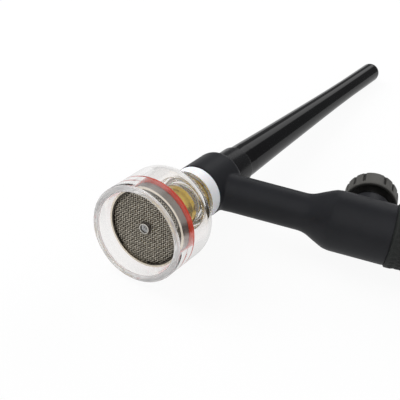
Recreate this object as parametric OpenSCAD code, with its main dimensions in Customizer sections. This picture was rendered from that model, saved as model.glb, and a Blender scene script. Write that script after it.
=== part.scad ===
// TIG welding torch, air cooled, with a gas valve, a long back cap and a large clear cup.
// The head axis is Y: the cup opens towards -Y and the back cap points along +Y.
// The handle leaves the head in the XY plane. The origin is where the two axes cross.

/* [Head] */
// Angle between the back cap and the handle
head_angle = 70; // [70:1:90]
// Diameter of the moulded head barrel
head_d = 21; // [20.4:0.1:24]
// Head barrel from the crossing of the axes to its front face
head_front = 6.6; // [6:0.1:9]
// Head barrel from the crossing of the axes to its rear face
head_rear = 10.6; // [10:0.1:14]
// Diameter of the brass core inside the barrel
core_d = 16; // [15:0.1:16.8]
// Diameter of the moulded neck
neck_d = 14.6; // [12:0.1:14.8]
// From the crossing of the axes to the start of the flare
neck_len = 38; // [30:0.5:60]
// Diameter of the tube inside the neck
tube_d = 6.9; // [6:0.1:8]
// Bore of the tube inside the neck
tube_bore = 4.4; // [3:0.1:4.8]

/* [Valve body] */
// Diameter of the moulded valve body
body_d = 23.4; // [22:0.1:26]
// Length of the flare from the neck to the valve body
flare_len = 12; // [8:0.5:20]
// Length of the valve body from the flare to the handle
body_len = 22; // [20.5:0.5:32]
// From the end of the flare to the valve axis
valve_setback = 12.5; // [9.5:0.5:14]
// Diameter of the round boss under the knob
boss_d = 17.2; // [15:0.2:18]
// Height of the boss above the handle axis
boss_height = 13.7; // [13:0.1:15]
// Diameter of the brass valve housing
housing_d = 15; // [14:0.1:16]
// Diameter of the plug that the handle is pushed onto
plug_d = 19.4; // [18:0.1:20]
// Length of the plug that the handle is pushed onto
plug_len = 20; // [16:0.5:30]

/* [Valve] */
// Diameter of the knob
knob_d = 21; // [19:0.2:23]
// Height of the knob
knob_height = 9.1; // [8:0.1:12]
// Gap between the boss and the knob's skirt
knob_gap = 3.2; // [2.8:0.1:5]
// Wall of the knob's skirt
skirt_wall = 1.1; // [0.8:0.1:1.6]
// Depth of the hollow under the knob
skirt_depth = 5; // [3:0.1:5.6]
// Positions for grip grooves round the knob
groove_places = 20; // [15:5:30]
// Every how many places one is left smooth
pad_every = 5; // [3:1:6]
// Radius of the grip grooves
groove_r = 0.65; // [0.5:0.05:0.9]
// Plain band under the grip grooves
knob_band = 1.8; // [0.5:0.1:3]
// Diameter of the valve spindle
spindle_d = 4; // [3.4:0.1:4.4]
// Rise of the valve for one turn
valve_pitch = 0.8; // [0.5:0.05:0.8]
// Turns of the valve from shut to open
valve_turns = 1.5; // [1:0.25:1.5]

/* [Cup] */
// Wall of the cup's barrel
cup_wall = 2.5; // [2.3:0.1:3]
// Space between the diffuser housing and the cup's bore
cup_play = 0.8; // [0.4:0.1:1.2]
// Length of the cup
cup_len = 34.2; // [33:0.1:38]
// Length of the cup's straight barrel
barrel_len = 19; // [17:0.1:20]
// Outer diameter of the cup's neck
cup_neck_d = 21.6; // [20.6:0.1:22.4]
// Bore of the cup's neck
cup_neck_bore = 17.6; // [17.3:0.1:18.4]
// Outer radius of the cup's shoulder
shoulder_r = 7; // [4:0.1:7.4]
// Wall of the cup's shoulder
shoulder_wall = 1.8; // [1.6:0.1:2.4]
// Depth of the front screen inside the mouth
screen_recess = 6.7; // [5.5:0.1:7.5]

/* [Insulator] */
// Diameter of the insulator ring
insulator_d = 20.6; // [19:0.1:21]
// Length of the insulator ring
insulator_len = 5.6; // [4:0.1:8]

/* [Gas lens] */
// Diameter of the gas lens thread
lens_thread_d = 9.5; // [9:0.1:10]
// Rise of the gas lens for one turn
lens_pitch = 0.8; // [0.5:0.05:0.8]
// Diameter of the gas lens barrel
lens_d = 16.4; // [15.6:0.1:16.8]
// Largest diameter of the brass cone
cone_d = 25.2; // [23:0.1:27]
// Length of the brass cone
cone_len = 5.6; // [4.6:0.1:6.4]
// Section of the clear O-rings round the barrel
neck_ring_w = 1.9; // [1.5:0.1:2.2]
// Space between the two clear O-rings
neck_ring_pitch = 4.6; // [3.6:0.1:5.4]
// Outer diameter of the diffuser housing
diffuser_d = 30.2; // [29.6:0.1:33]
// Length of the diffuser housing
diffuser_len = 6.9; // [6.7:0.1:7.6]
// Wall of the diffuser housing
diffuser_wall = 0.7; // [0.6:0.05:0.8]
// Section of the red O-ring round the housing
cup_ring_w = 2.4; // [2:0.1:2.6]
// From the housing's rear to the middle of the red O-ring
cup_ring_at = 2.1; // [2:0.1:2.6]
// Thickness of each screen
screen_t = 0.5; // [0.4:0.05:0.6]
// Outer diameter of the eyelet in the front screen
eyelet_d = 4.8; // [4.4:0.1:5.4]
// How far the eyelet stands out of the front screen
eyelet_out = 1.2; // [0.6:0.1:1.4]
// Opening of the snap ring, in degrees
snap_gap = 49; // [10:1:60]

/* [Collet] */
// Electrode that the collet is made for
electrode_d = 2.4; // [1.6:0.4:2.4]
// Clearance of the open collet, on the diameter
collet_play = 0.1; // [0.04:0.02:0.2]
// Outer diameter of the collet
collet_d = 4.6; // [4.2:0.1:4.8]
// Length of the collet's slots
slot_len = 15; // [8:0.5:20]
// Width of the collet's slots
slot_w = 0.4; // [0.3:0.05:0.45]

/* [Back cap] */
// Diameter of the cap's collar
collar_d = 15.4; // [14.8:0.1:15.6]
// Length of the cap's collar
collar_len = 11.6; // [9:0.1:20]
// Diameter of the cap just behind the collar
cap_base_d = 13.9; // [12:0.1:14.2]
// Diameter of the cap at its middle
cap_mid_d = 10.4; // [9.6:0.1:11.4]
// Diameter of the cap near its tip
cap_tip_d = 9; // [8.6:0.1:9.4]
// Length of the cap behind the head
cap_len = 146.8; // [100:0.5:160]
// Diameter of the cap's thread
cap_thread_d = 10; // [9.4:0.1:10.4]
// Rise of the cap for one turn
cap_pitch = 1.25; // [0.8:0.05:1.25]

/* [Handle] */
// Diameter of the handle at its front
handle_d = 24.3; // [23:0.1:26]
// Diameter of the handle at its fullest
grip_d = 25.9; // [24.8:0.1:28]
// Length of the handle
handle_len = 132; // [100:1:160]
// Bore of the handle for the cable
cable_bore = 18; // [16:0.1:18.6]
// Diameter of the cable connector's thread
connector_d = 9.5; // [8:0.1:10]

/* [Hidden] */
$fn = 96;

run_fit = 0.05;    // radial clearance of a turning or sliding fit
seat_gap = 0.1;    // space between flat faces that turn or slide apart
loose_fit = 0.3;   // radial clearance where nothing guides
wall_min = 1.2;    // least metal behind a socket
tiny = 0.01;       // overlap between parts of one solid
bore_over = 1;     // how far a cutting tool runs past the work
lead = 0.6;        // small chamfer on a turned edge

// stations along the head axis, positive towards the back cap
insulator_rear = -head_front;
insulator_front = insulator_rear - insulator_len;
cup_rear = insulator_front - seat_gap;
cup_front = cup_rear - cup_len;
screen_front = cup_front + screen_recess;
diffuser_front = screen_front - 0.6;
diffuser_rear = diffuser_front + diffuser_len;
cone_rear = diffuser_rear + cone_len;
core_front = -head_front + 0.2;
core_rear = head_rear - lead;
web_half = 1.4;
lens_socket_end = -web_half;
cap_socket_end = web_half;
lens_thread_end = lens_socket_end - 0.3;
cap_thread_end = cap_socket_end + 0.5;
collar_front = head_rear + 2 * seat_gap;
collar_rear = collar_front + collar_len;
cap_tip = head_rear + cap_len;
collet_seat = diffuser_rear + 0.4;
collet_front = collet_seat - 1.4;
collet_rear = collar_front + 3;

// stations along the handle axis, from the crossing towards the cable
flare_end = neck_len + flare_len;
valve_at = flare_end + valve_setback;
body_end = flare_end + body_len;
plug_end = body_end + plug_len;
handle_end = body_end + handle_len;
tube_start = core_d / 2 + 0.6;
boss_end = tube_start + 4.4;
housing_front = flare_end + 0.5;
housing_rear = plug_end - 1;
tube_end = housing_front + 3.4;
connector_in = 8;
connector_out = 12;
connector_gap = 1.5;
hex_len = 4;
nut_room = 3;
connector_tip = housing_rear + hex_len + connector_out;
chamber_end = connector_tip + nut_room;

// stations along the valve axis, from the handle axis outwards
housing_top = boss_height - 1.1;
gland_floor = housing_top - 3.4;
nut_in = 0.8;
nut_hex = 2.4;
nut_top = housing_top + nut_hex;
skirt_bottom = boss_height + knob_gap;
knob_top = skirt_bottom + knob_height;
spindle_top = knob_top - 4;

cup_bore = diffuser_d + 2 * cup_play;
cup_d = cup_bore + 2 * cup_wall;
valve_rise = valve_pitch * valve_turns;
collet_bore = electrode_d + collet_play;
outlet_r = electrode_d / 2 + 0.4;
collet_room = collet_d / 2 + loose_fit;
neck_groove_d = cup_neck_bore - 2 * (2 * run_fit + neck_ring_w);
cup_groove_d = cup_bore - 2 * (2 * run_fit + cup_ring_w);
cup_shoulder = cup_front + barrel_len;
cup_back_face = cup_shoulder + shoulder_r;
cup_inner_face = cup_back_face - shoulder_wall;
inner_corner = shoulder_r - cup_wall;
screen_d = diffuser_d - 2 * diffuser_wall - 2 * run_fit;

// points of an arc in a turned outline
function arc(c, r, from, to, n = 10) =
    [for (i = [0:n]) let (a = from + (to - from) * i / n) [c[0] + r * cos(a), c[1] + r * sin(a)]];

module on_head(s = 0) {
    rotate([-90, 0, 0]) translate([0, 0, s]) children();
}

module on_handle(s = 0) {
    rotate([0, 0, 90 - head_angle]) rotate([0, 90, 0]) translate([0, 0, s]) children();
}

module on_valve(t = 0) {
    rotate([0, 0, 90 - head_angle]) translate([valve_at, 0, 0]) rotate([-90, 0, 0])
        translate([0, 0, t]) children();
}

module turned(outline) {
    rotate_extrude() polygon(outline);
}

module rod(d, from, to) {
    translate([0, 0, from]) cylinder(d = d, h = to - from);
}

module o_ring(bore, section, s) {
    translate([0, 0, s]) rotate_extrude() translate([bore / 2 + section / 2, 0])
        circle(d = section, $fn = 32);
}

module hex(across, from, to) {
    translate([0, 0, from]) cylinder(d = across / cos(30), h = to - from, $fn = 6);
}

// rubber moulding over the head, the neck and the valve

module shell_outside() {
    rim = 2;
    neck_root = head_d * 0.26;
    flare = (body_d - neck_d) / 2;
    on_head() turned(concat(
        [[0, -head_front], [head_d / 2 - lead / 2, -head_front], [head_d / 2, -head_front + lead / 2]],
        arc([head_d / 2 - rim, head_rear - rim], rim, 0, 90, 6),
        [[0, head_rear]]));
    on_handle() turned([
        [0, neck_root], [neck_d / 2 + 0.1, neck_root], [neck_d / 2 + 0.1, head_d / 2 - 0.6],
        [neck_d / 2, head_d / 2 + 1],
        [neck_d / 2, neck_len], [neck_d / 2 + flare * 0.04, neck_len + flare_len * 0.12],
        [neck_d / 2 + flare * 0.14, neck_len + flare_len * 0.25],
        [neck_d / 2 + flare * 0.47, neck_len + flare_len * 0.5],
        [neck_d / 2 + flare * 0.79, neck_len + flare_len * 0.75],
        [neck_d / 2 + flare * 0.93, neck_len + flare_len * 0.88],
        [body_d / 2, flare_end + 0.8], [body_d / 2, body_end - 0.4],
        [body_d / 2 - 0.4, body_end], [plug_d / 2, body_end],
        [plug_d / 2, plug_end - lead], [plug_d / 2 - lead, plug_end], [0, plug_end]]);
    on_valve() turned([
        [0, 0], [boss_d / 2, 0], [boss_d / 2, boss_height - lead],
        [boss_d / 2 - lead, boss_height], [0, boss_height]]);
}

module head_shell() {
    color([0.13, 0.135, 0.145]) difference() {
        shell_outside();
        on_head() rod(core_d, -head_front - bore_over, core_rear);
        on_head() rod(collar_mouth_d, core_rear - tiny, head_rear + bore_over);
        on_handle() rod(core_boss_d, 0, boss_end);
        on_handle() rod(tube_d, boss_end - tiny, housing_front + tiny);
        on_handle() rod(housing_d, housing_front, plug_end + bore_over);
        on_valve() rod(valve_boss_d, 0, boss_height + bore_over);
    }
}

core_boss_d = tube_d + 2 * wall_min;
stem_ring_w = 1.2;
gland_wall = 2.2;
gland_d = spindle_d + 2 * stem_ring_w + 4 * run_fit;
valve_boss_d = gland_d + 2 * gland_wall;
collar_mouth_d = cap_thread_d + 2;

// brass core of the head, threaded at both ends for the gas lens and the back cap

module head_core() {
    color([0.79, 0.63, 0.3]) difference() {
        union() {
            on_head() rod(core_d, core_front, core_rear);
            on_handle() rod(core_boss_d, 0, boss_end);
        }
        on_head() rod(lens_thread_d + 2 * run_fit, core_front - bore_over, lens_socket_end);
        on_head() rod(2 * collet_room, lens_socket_end - tiny, cap_socket_end + tiny);
        on_head() rod(cap_thread_d + 2 * run_fit, cap_socket_end, core_rear + bore_over);
        on_head() rod(collar_mouth_d, cap_groove_front - seat_gap, core_rear + bore_over);
        on_handle() rod(2 * web_half - 0.4, 0, tube_start + tiny);
        on_handle() rod(tube_d, tube_start, boss_end + bore_over);
    }
}

// gas and current tube in the neck

module neck_tube() {
    color([0.78, 0.5, 0.33]) on_handle() difference() {
        rod(tube_d, tube_start, tube_end);
        rod(tube_bore, tube_start - bore_over, tube_end + bore_over);
    }
}

// brass block that carries the needle valve

valve_seat_r = 1.1;
valve_thread_d = spindle_d + 0.9;
chamber_floor = 2.4;
thread_bottom = 5;
thread_top = gland_floor - valve_rise;

module valve_housing() {
    passage = 3;
    side_passage = 1.8;
    side_at = chamber_floor + 1.2;
    color([0.79, 0.63, 0.3]) difference() {
        union() {
            on_handle() rod(housing_d, housing_front, housing_rear);
            on_valve() rod(valve_boss_d, 0, housing_top);
        }
        on_handle() rod(tube_d, housing_front - bore_over, tube_end);
        on_handle() rod(passage, tube_end - tiny, valve_at + passage / 2);
        on_handle() rod(connector_d, housing_rear - connector_in - connector_gap, housing_rear + bore_over);
        on_valve() rod(2 * valve_seat_r, 0, chamber_floor + tiny);
        on_valve() rod(valve_thread_d + 2 * run_fit, chamber_floor, gland_floor + tiny);
        on_valve() rod(gland_d, gland_floor, housing_top + bore_over);
        rotate([0, 0, 90 - head_angle]) translate([valve_at, side_at, 0]) rotate([0, 90, 0])
            cylinder(d = side_passage, h = housing_rear - connector_in - valve_at, $fn = 48);
    }
}

module cable_connector() {
    bore = 4;
    color([0.8, 0.65, 0.33]) on_handle() difference() {
        union() {
            rod(connector_d, housing_rear - connector_in, housing_rear + tiny);
            hex(connector_d + 3, housing_rear, housing_rear + hex_len);
            turned([
                [0, housing_rear], [connector_d / 2, housing_rear],
                [connector_d / 2, connector_tip - lead],
                [connector_d / 2 - lead, connector_tip], [0, connector_tip]]);
        }
        rod(bore, housing_rear - connector_in - bore_over, connector_tip + bore_over);
    }
}

// needle valve, its seal and its knob

module valve_stem() {
    needle_r = valve_seat_r - run_fit;
    neck_r = 1.6;
    shoulder = chamber_floor + 0.5;
    color([0.79, 0.63, 0.3]) on_valve() difference() {
        turned([
            [0, 1], [needle_r, 2], [needle_r, shoulder], [neck_r, shoulder], [neck_r, thread_bottom],
            [valve_thread_d / 2, thread_bottom], [valve_thread_d / 2, thread_top],
            [spindle_d / 2, thread_top], [spindle_d / 2, spindle_top], [0, spindle_top]]);
        rod(screw_d, spindle_top - screw_in, spindle_top + bore_over);
    }
}

module stem_o_ring() {
    color([0.08, 0.08, 0.09]) on_valve()
        o_ring(spindle_d + 2 * run_fit, stem_ring_w, gland_floor + stem_ring_w / 2 + seat_gap);
}

module gland_nut() {
    color([0.82, 0.67, 0.35]) on_valve() difference() {
        union() {
            rod(gland_d, housing_top - nut_in, housing_top + tiny);
            hex(valve_boss_d - 1.8, housing_top, nut_top);
        }
        rod(spindle_d + 2 * run_fit, housing_top - nut_in - bore_over, nut_top + bore_over);
    }
}

hub_d = spindle_d + 3.6;
screw_d = 2;
screw_in = 4;
screw_head_d = 4.4;
screw_head = 1.6;
knob_dish = 1.9;

module valve_knob() {
    edge = 1.5;
    pad_centre = -99;
    hollow_top = skirt_bottom + skirt_depth;
    color([0.36, 0.35, 0.33]) on_valve() difference() {
        turned(concat(
            [[0, skirt_bottom - 0.4], [hub_d / 2, skirt_bottom - 0.4], [hub_d / 2, hollow_top],
             [knob_d / 2 - skirt_wall - 0.5, hollow_top], [knob_d / 2 - skirt_wall, hollow_top - 0.5],
             [knob_d / 2 - skirt_wall, skirt_bottom], [knob_d / 2 - 0.2, skirt_bottom],
             [knob_d / 2, skirt_bottom + 0.2]],
            arc([knob_d / 2 - edge, knob_top - edge], edge, 0, 90, 6),
            [[0, knob_top]]));
        for (i = [1:groove_places])
            if (i % pad_every != 0)
                rotate([0, 0, pad_centre + i * 360 / groove_places])
                    translate([knob_d / 2, 0, skirt_bottom + knob_band])
                        cylinder(r = groove_r, h = knob_height, $fn = 24);
        rod(screw_head_d + 0.4, knob_top - knob_dish, knob_top + bore_over);
        rod(spindle_d, skirt_bottom - bore_over, spindle_top);
        rod(screw_d, spindle_top - tiny, knob_top);
    }
}

module knob_screw() {
    slot = 0.7;
    color([0.82, 0.67, 0.35]) on_valve() difference() {
        union() {
            rod(screw_d, spindle_top - screw_in, knob_top - knob_dish + tiny);
            rod(screw_head_d, knob_top - knob_dish, knob_top - knob_dish + screw_head);
        }
        translate([-screw_head_d, -slot / 2, knob_top - knob_dish + screw_head - 0.7])
            cube([2 * screw_head_d, slot, 1]);
    }
}

// insulator ring between the head and the cup

module insulator() {
    edge = 0.5;
    color([0.93, 0.94, 0.95]) on_head() difference() {
        turned([
            [0, insulator_front], [insulator_d / 2 - edge, insulator_front],
            [insulator_d / 2, insulator_front + edge], [insulator_d / 2, insulator_rear],
            [0, insulator_rear]]);
        rod(lens_thread_d + 4 * loose_fit, insulator_front - bore_over, insulator_rear + bore_over);
    }
}

// gas lens: threaded barrel with two O-ring grooves, a cone and a tube that seats the collet

lens_rear = insulator_front - seat_gap;
neck_ring_rear_at = lens_rear - 2.6;
barrel_room_r = neck_groove_d / 2 - 1.1;
centre_tube_r = collet_room + 0.7;
nozzle_tube_r = outlet_r + 0.45;
spigot_r = cone_d / 2 - 2.4;
spigot_front = diffuser_rear - 2.4;
nozzle_front = screen_front + screen_t + 0.2;

module gas_lens_body() {
    web = 1.6;
    gas_hole = 1.6;
    color([0.82, 0.66, 0.3]) on_head() difference() {
        union() {
            turned([
                [0, lens_thread_end], [lens_thread_d / 2, lens_thread_end],
                [lens_thread_d / 2, lens_rear], [lens_d / 2, lens_rear],
                [lens_d / 2, cone_rear], [cone_d / 2, diffuser_rear],
                [spigot_r, diffuser_rear], [spigot_r, spigot_front], [0, spigot_front]]);
            rod(2 * nozzle_tube_r, nozzle_front, collet_seat);
        }
        difference() {
            turned([
                [0, lens_rear - web], [barrel_room_r, lens_rear - web],
                [barrel_room_r, cone_rear], [spigot_r - 1, diffuser_rear - 1],
                [spigot_r - 1, spigot_front - bore_over], [0, spigot_front - bore_over]]);
            rod(2 * centre_tube_r, collet_seat - 2.6, lens_rear);
            rod(2 * nozzle_tube_r, nozzle_front, collet_seat);
        }
        for (i = [0, 1])
            neck_groove(neck_ring_rear_at - i * neck_ring_pitch);
        turned([
            [0, lens_thread_end + bore_over], [collet_room, lens_thread_end + bore_over],
            [collet_room, collet_seat], [outlet_r, collet_seat - 2],
            [outlet_r, screen_front - bore_over], [0, screen_front - bore_over]]);
        for (a = [0:90:270])
            rotate([0, 0, a + 45]) translate([0, 0, lens_rear - web - 2.4]) rotate([0, 90, 0])
                cylinder(d = gas_hole, h = centre_tube_r + 1);
    }
}

module neck_groove(s) {
    difference() {
        rod(lens_d + 2 * bore_over, s - neck_ring_w / 2 - seat_gap, s + neck_ring_w / 2 + seat_gap);
        rod(neck_groove_d, s - neck_ring_w, s + neck_ring_w);
    }
}

module neck_o_rings() {
    color([0.93, 0.93, 0.9]) on_head()
        for (i = [0, 1])
            o_ring(neck_groove_d + 2 * run_fit, neck_ring_w, neck_ring_rear_at - i * neck_ring_pitch);
}

// diffuser housing with its screens

spacer_wall = 0.7;
eyelet_hole = eyelet_d - 1;
nozzle_hole = 2 * (nozzle_tube_r + loose_fit);

module diffuser_housing() {
    back_wall = 1;
    inner_r = diffuser_d / 2 - diffuser_wall;
    groove_floor = cup_groove_d / 2;
    body_r = groove_floor - 0.6;
    color([0.72, 0.71, 0.69]) on_head() difference() {
        turned([
            [spigot_r + run_fit, diffuser_rear], [diffuser_d / 2 - lead, diffuser_rear],
            [diffuser_d / 2, diffuser_rear - lead], [diffuser_d / 2, diffuser_front],
            [inner_r, diffuser_front], [inner_r, screen_back],
            [body_r, screen_back], [body_r, diffuser_rear - back_wall],
            [spigot_r + run_fit, diffuser_rear - back_wall]]);
        difference() {
            rod(diffuser_d + 2 * bore_over, cup_ring_s - cup_ring_w / 2 - seat_gap,
                cup_ring_s + cup_ring_w / 2 + seat_gap);
            rod(cup_groove_d, cup_ring_s - cup_ring_w, cup_ring_s + cup_ring_w);
        }
    }
}

cup_ring_s = diffuser_rear - cup_ring_at;
screen_back = cup_ring_s - cup_ring_w / 2 - seat_gap - 0.7;

module cup_o_ring() {
    color([0.85, 0.25, 0.13]) on_head()
        o_ring(cup_groove_d + 2 * run_fit, cup_ring_w, cup_ring_s);
}

module screen(s, hole) {
    difference() {
        rod(screen_d, s, s + screen_t);
        rod(hole, s - bore_over, s + screen_t + bore_over);
    }
}

module mesh_screen_rear() {
    color([0.5, 0.47, 0.41]) on_head() screen(screen_back - screen_t, nozzle_hole);
}

module spacer_ring() {
    color([0.66, 0.65, 0.63]) on_head() difference() {
        rod(screen_d, screen_front + screen_t, screen_back - screen_t);
        rod(screen_d - 2 * spacer_wall, screen_front, screen_back);
    }
}

module mesh_screen_front() {
    color([0.52, 0.49, 0.43]) on_head() screen(screen_front, eyelet_hole);
}

module mesh_eyelet() {
    lip = 0.25;
    color([0.83, 0.83, 0.82]) on_head() turned([
        [outlet_r, screen_front + screen_t], [outlet_r, screen_front - eyelet_out],
        [outlet_r + lip, screen_front - eyelet_out - lip], [eyelet_d / 2 - lip, screen_front - eyelet_out / 2],
        [eyelet_d / 2, screen_front - lip], [eyelet_d / 2, screen_front],
        [eyelet_hole / 2, screen_front], [eyelet_hole / 2, screen_front + screen_t]]);
}

module snap_ring() {
    band = 0.55;
    color([0.8, 0.8, 0.79]) on_head() difference() {
        rod(screen_d, diffuser_front, screen_front);
        rod(screen_d - 2 * band, diffuser_front - bore_over, screen_front + bore_over);
        rotate([0, 0, snap_turn]) translate([0, 0, diffuser_front - bore_over])
            linear_extrude(2 * bore_over + 1) polygon([
                [0, 0], [screen_d * cos(snap_gap / 2), screen_d * sin(snap_gap / 2)],
                [screen_d * cos(snap_gap / 2), -screen_d * sin(snap_gap / 2)]]);
    }
}

snap_turn = 101;

// clear cup

module glass_cup() {
    rim = 0.7;
    outer_r = cup_d / 2;
    inner_r = cup_bore / 2;
    neck_r = cup_neck_d / 2;
    neck_in = cup_neck_bore / 2;
    throat = outer_r - shoulder_r - neck_r;
    color([0.86, 0.88, 0.88, 0.45]) on_head() turned(concat(
        arc([outer_r - rim, cup_front + rim], rim, 0, -90, 5),
        arc([inner_r + rim, cup_front + rim], rim, -90, -180, 5),
        arc([inner_r - inner_corner, cup_inner_face - inner_corner], inner_corner, 0, 90, 10),
        [[neck_in, cup_inner_face], [neck_in, cup_rear - lead / 2], [neck_in + lead / 2, cup_rear]],
        [[neck_r - lead / 2, cup_rear], [neck_r, cup_rear - lead / 2]],
        arc([neck_r + throat, cup_back_face + throat], throat, 180, 270, 5),
        arc([outer_r - shoulder_r, cup_back_face - shoulder_r], shoulder_r, 90, 0, 12)));
}

// collet

module collet() {
    nose = 1.4;
    nose_r = collet_d / 2 - nose / 2;
    color([0.78, 0.5, 0.33]) on_head() difference() {
        turned([
            [collet_bore / 2, collet_front], [nose_r, collet_front],
            [collet_d / 2, collet_front + nose], [collet_d / 2, collet_rear],
            [collet_bore / 2, collet_rear]]);
        for (a = [0, 90])
            rotate([0, 0, a]) translate([-collet_d, -slot_w / 2, collet_front - bore_over])
                cube([2 * collet_d, slot_w, slot_len + bore_over]);
    }
}

// long back cap

module back_cap() {
    tip_r = cap_tip_d / 2;
    base_r = cap_base_d / 2;
    mid_r = cap_mid_d / 2;
    taper = cap_tip - collar_rear;
    edge = 0.7;
    ream = 0.6;
    collet_stop = collet_rear + seat_gap;
    color([0.07, 0.07, 0.075]) on_head() difference() {
        turned(concat(
            [[0, cap_thread_end], [cap_thread_d / 2 - lead, cap_thread_end],
             [cap_thread_d / 2, cap_thread_end + lead], [cap_thread_d / 2, cap_groove_front],
             [cap_groove_d / 2, cap_groove_front], [cap_groove_d / 2, collar_front],
             [collar_d / 2 - lead / 2, collar_front], [collar_d / 2, collar_front + lead / 2],
             [collar_d / 2, collar_rear - edge], [collar_d / 2 - edge * 0.3, collar_rear - edge * 0.3],
             [base_r + edge * 0.3, collar_rear], [base_r, collar_rear + edge * 0.6],
             [base_r, collar_rear + taper * 0.04], [mid_r, collar_rear + taper * 0.5],
             [mid_r + (tip_r - mid_r) * 0.64, collar_rear + taper * 0.65],
             [tip_r, collar_rear + taper * 0.77]],
            arc([0, cap_tip - tip_r], tip_r, 0, 90, 12)));
        rod(2 * collet_room, cap_thread_end - bore_over, collet_stop);
        translate([0, 0, collet_stop - tiny])
            cylinder(r1 = collet_bore / 2 + ream, r2 = collet_bore / 2 + 0.15, h = ream);
        rod(collet_bore + 0.3, collet_stop, cap_tip - cap_tip_d);
    }
}

cap_ring_w = 1.5;
cap_groove_d = collar_mouth_d - 2 * cap_ring_w - 4 * run_fit;
cap_groove_front = collar_front - cap_ring_w - 2 * seat_gap;

module back_cap_o_ring() {
    color([0.06, 0.06, 0.06]) on_head()
        o_ring(cap_groove_d + 2 * run_fit, cap_ring_w, collar_front - cap_ring_w / 2 - seat_gap);
}

// handle, pushed onto the plug behind the valve body

module handle_grip() {
    bead_len = 5;
    bead_r = handle_d / 2 + 0.1;
    waist_r = handle_d / 2 - 0.3;
    end_bead = 7;
    color([0.15, 0.155, 0.15]) on_handle() difference() {
        turned(concat(
            [[0, body_end], [handle_d / 2 - 1, body_end], [handle_d / 2 - 0.5, body_end + 0.5],
             [bead_r, body_end + bead_len * 0.5], [waist_r, body_end + bead_len],
             [waist_r + 0.15, body_end + handle_len * 0.07]],
            [for (i = [1:8]) let (a = i / 9)
                [waist_r + (grip_d / 2 - waist_r) * sin(180 * a), body_end + handle_len * (0.07 + 0.83 * a)]],
            [[waist_r, handle_end - end_bead - 2], [handle_d / 2, handle_end - end_bead]],
            arc([handle_d / 2 - 1.5, handle_end - 1.5], 1.5, 0, 90, 6),
            [[0, handle_end]]));
        rod(plug_d + 2 * run_fit, body_end - bore_over, chamber_end);
        rod(cable_bore, body_end, handle_end + bore_over);
    }
}

head_shell();
head_core();
neck_tube();
valve_housing();
cable_connector();
valve_stem();
stem_o_ring();
gland_nut();
valve_knob();
knob_screw();
insulator();
gas_lens_body();
neck_o_rings();
diffuser_housing();
cup_o_ring();
mesh_screen_rear();
spacer_ring();
mesh_screen_front();
mesh_eyelet();
snap_ring();
glass_cup();
collet();
back_cap();
back_cap_o_ring();
handle_grip();
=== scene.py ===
import math

import bmesh
import bpy
from mathutils import Matrix, Vector


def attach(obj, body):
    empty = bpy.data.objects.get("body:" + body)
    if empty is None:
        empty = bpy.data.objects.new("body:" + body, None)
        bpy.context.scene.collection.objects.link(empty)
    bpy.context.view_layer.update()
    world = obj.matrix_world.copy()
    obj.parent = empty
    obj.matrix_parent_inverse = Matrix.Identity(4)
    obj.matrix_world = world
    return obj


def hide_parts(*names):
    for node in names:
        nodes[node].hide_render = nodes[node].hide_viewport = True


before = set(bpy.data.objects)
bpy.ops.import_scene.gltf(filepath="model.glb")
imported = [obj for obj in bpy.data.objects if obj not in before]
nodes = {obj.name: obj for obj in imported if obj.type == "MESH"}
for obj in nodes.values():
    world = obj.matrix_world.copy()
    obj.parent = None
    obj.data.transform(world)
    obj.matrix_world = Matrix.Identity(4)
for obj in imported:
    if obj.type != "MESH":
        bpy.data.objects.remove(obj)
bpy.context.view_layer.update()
mm = 0.001
print("frame loaded:", len(nodes), "nodes")


# the three axes; sizes are in millimetres, stations are counted along an axis

layout = {
    "headAngle": 70.0,       # between the back cap and the handle
    "valveAt": 62.5,         # valve axis, along the handle
}

lean = math.radians(90.0 - layout["headAngle"])
headWay = Vector((0, 1, 0))
handleWay = Vector((math.cos(lean), math.sin(lean), 0))
valveWay = Vector((-math.sin(lean), math.cos(lean), 0))
valveSpot = handleWay * layout["valveAt"]


def fromAxes(origin, x, y, z):
    return Matrix.Translation(origin) @ Matrix((x, y, z)).transposed().to_4x4()


def axisFrame(origin, way, side):
    # millimetres to metres, with local z along way and local x along side
    z = Vector(way).normalized()
    x = Vector(side).normalized()
    return fromAxes(Vector(origin) * mm, x, z.cross(x), z) @ Matrix.Scale(mm, 4)


onHead = axisFrame((0, 0, 0), headWay, (1, 0, 0))
onHandle = axisFrame((0, 0, 0), handleWay, valveWay)
onValve = axisFrame(valveSpot, valveWay, handleWay)


def addObject(name, data):
    thing = bpy.data.objects.new(name, data)
    bpy.context.scene.collection.objects.link(thing)
    return thing


# camera first, so that everything after can be judged through it

cameraPlace = {
    "spot": (0.145192, -0.291201, 0.198539),     # metres
    "looks": (-0.38009, 0.75549, -0.53363),
    "up": (-0.41251, 0.37792, 0.82886),
    "lens": 90.0,
    "sensor": 36.0,
    "clip": (0.01, 20.0),
}


def addCamera(place):
    data = bpy.data.cameras.new("viewCamera")
    data.lens = place["lens"]
    data.sensor_width = place["sensor"]
    data.sensor_fit = "AUTO"
    data.clip_start, data.clip_end = place["clip"]
    camera = addObject("viewCamera", data)
    looks = Vector(place["looks"]).normalized()
    up = Vector(place["up"])
    up = (up - looks * up.dot(looks)).normalized()
    camera.matrix_world = fromAxes(Vector(place["spot"]), looks.cross(up), up, -looks)
    bpy.context.scene.camera = camera


addCamera(cameraPlace)
print("camera set")


# mesh helpers

meshing = {
    "tiny": 1e-6,            # a radius or a fillet under this counts as none
    "offZero": 1e-9,         # keeps the sum of two missing fillets off zero
    "straight": 89.5,        # half angle from which a corner is too flat for a fillet
}


def shade(mesh, smoothAngle):
    mesh.shade_smooth()
    mesh.set_sharp_from_angle(angle=math.radians(smoothAngle))


def addPiece(name, mesh, smoothAngle):
    shade(mesh, smoothAngle)
    return addObject(name, mesh)


def polar(size, angle, centre=(0.0, 0.0)):
    return centre[0] + size * math.cos(angle), centre[1] + size * math.sin(angle)


def wholeTurn(count):
    return [2 * math.pi * k / count for k in range(count)]


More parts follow.
